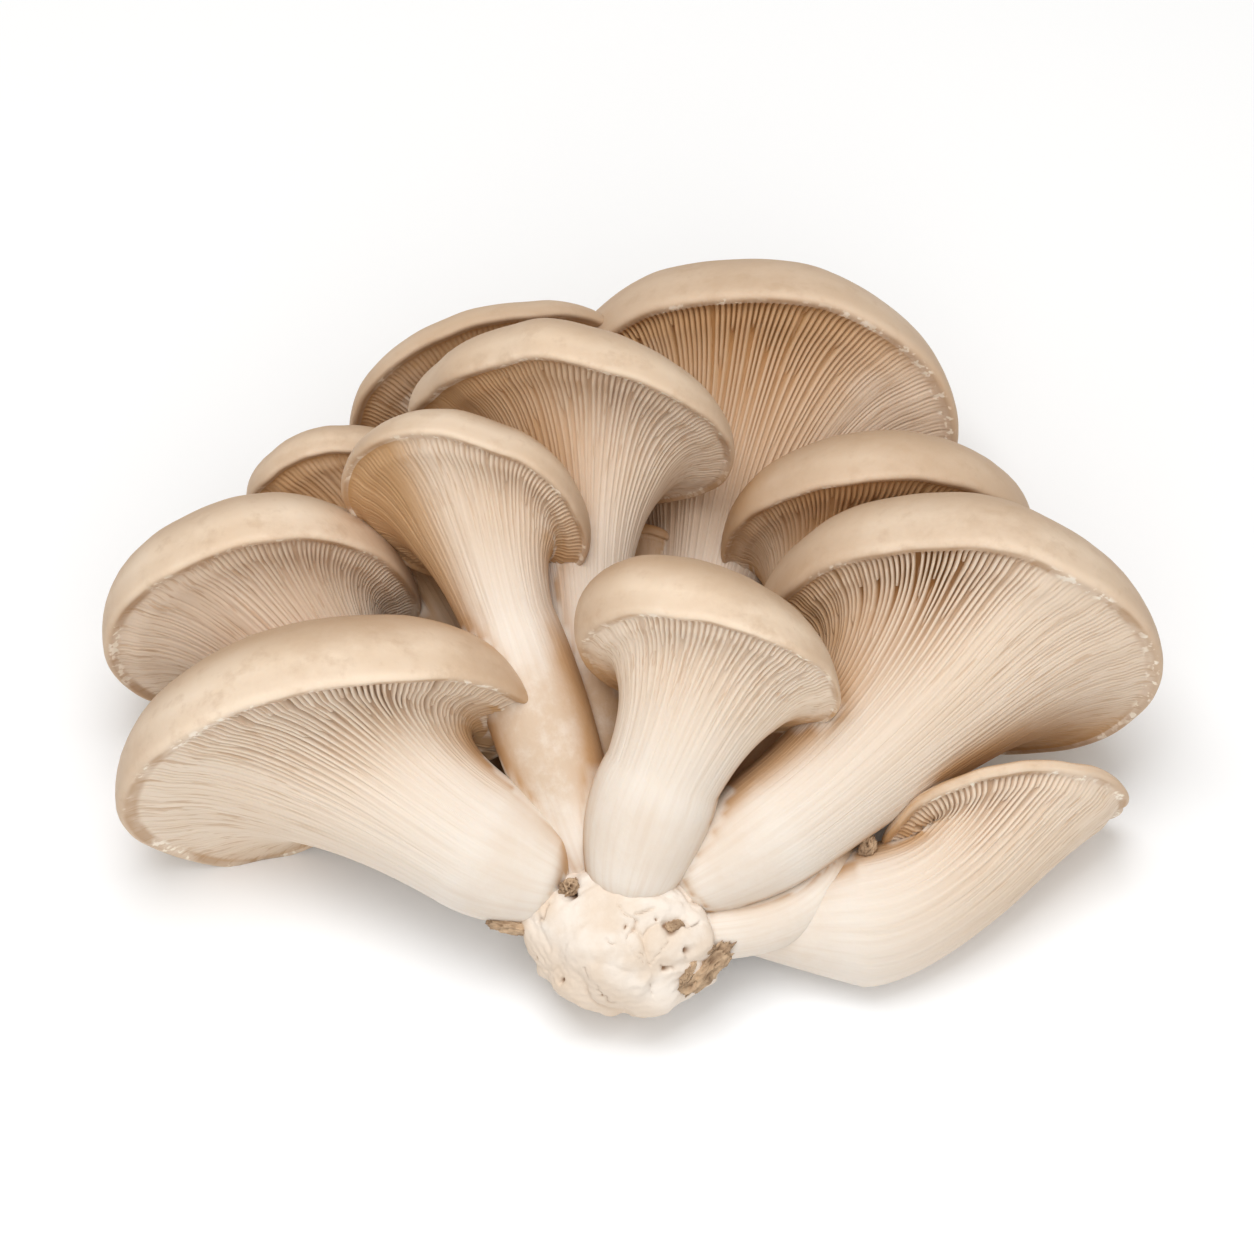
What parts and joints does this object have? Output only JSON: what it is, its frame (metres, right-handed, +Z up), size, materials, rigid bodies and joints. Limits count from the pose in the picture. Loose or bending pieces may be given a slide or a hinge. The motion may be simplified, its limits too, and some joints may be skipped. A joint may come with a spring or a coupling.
{
  "type": "oyster mushroom cluster",
  "caption": "Picked cluster of oyster mushrooms lying on a surface: gilled, shell-shaped caps on pale stems that fan out from one lumpy butt.",
  "frame": {"origin": "middle of the cluster's bounding box, on the surface it lies on", "axes": "+Z up from the surface, +X across the fan of mushrooms, +Y from the butt towards the caps; the gill sides look up and towards -Y"},
  "size_m": [0.1723, 0.1315, 0.0732],
  "materials": {
    "mushroom": "matte, velvety mushroom flesh: tan caps, cream gills and near-white stems",
    "butt": "matte, lumpy white flesh with brown cracks and crumbs of straw"
  },
  "bodies": {
    "root": {"mushroom_front_centre": "mushroom", "mushroom_front_left": "mushroom", "mushroom_front_right": "mushroom", "mushroom_bud_right": "mushroom", "mushroom_low_right": "mushroom", "mushroom_middle_left": "mushroom", "mushroom_middle": "mushroom", "mushroom_left": "mushroom", "mushroom_back_right": "mushroom", "mushroom_right": "mushroom", "mushroom_back_left": "mushroom", "mushroom_far_left": "mushroom", "mushroom_bud_back": "mushroom", "butt": "butt"}
  },
  "joints": []
}
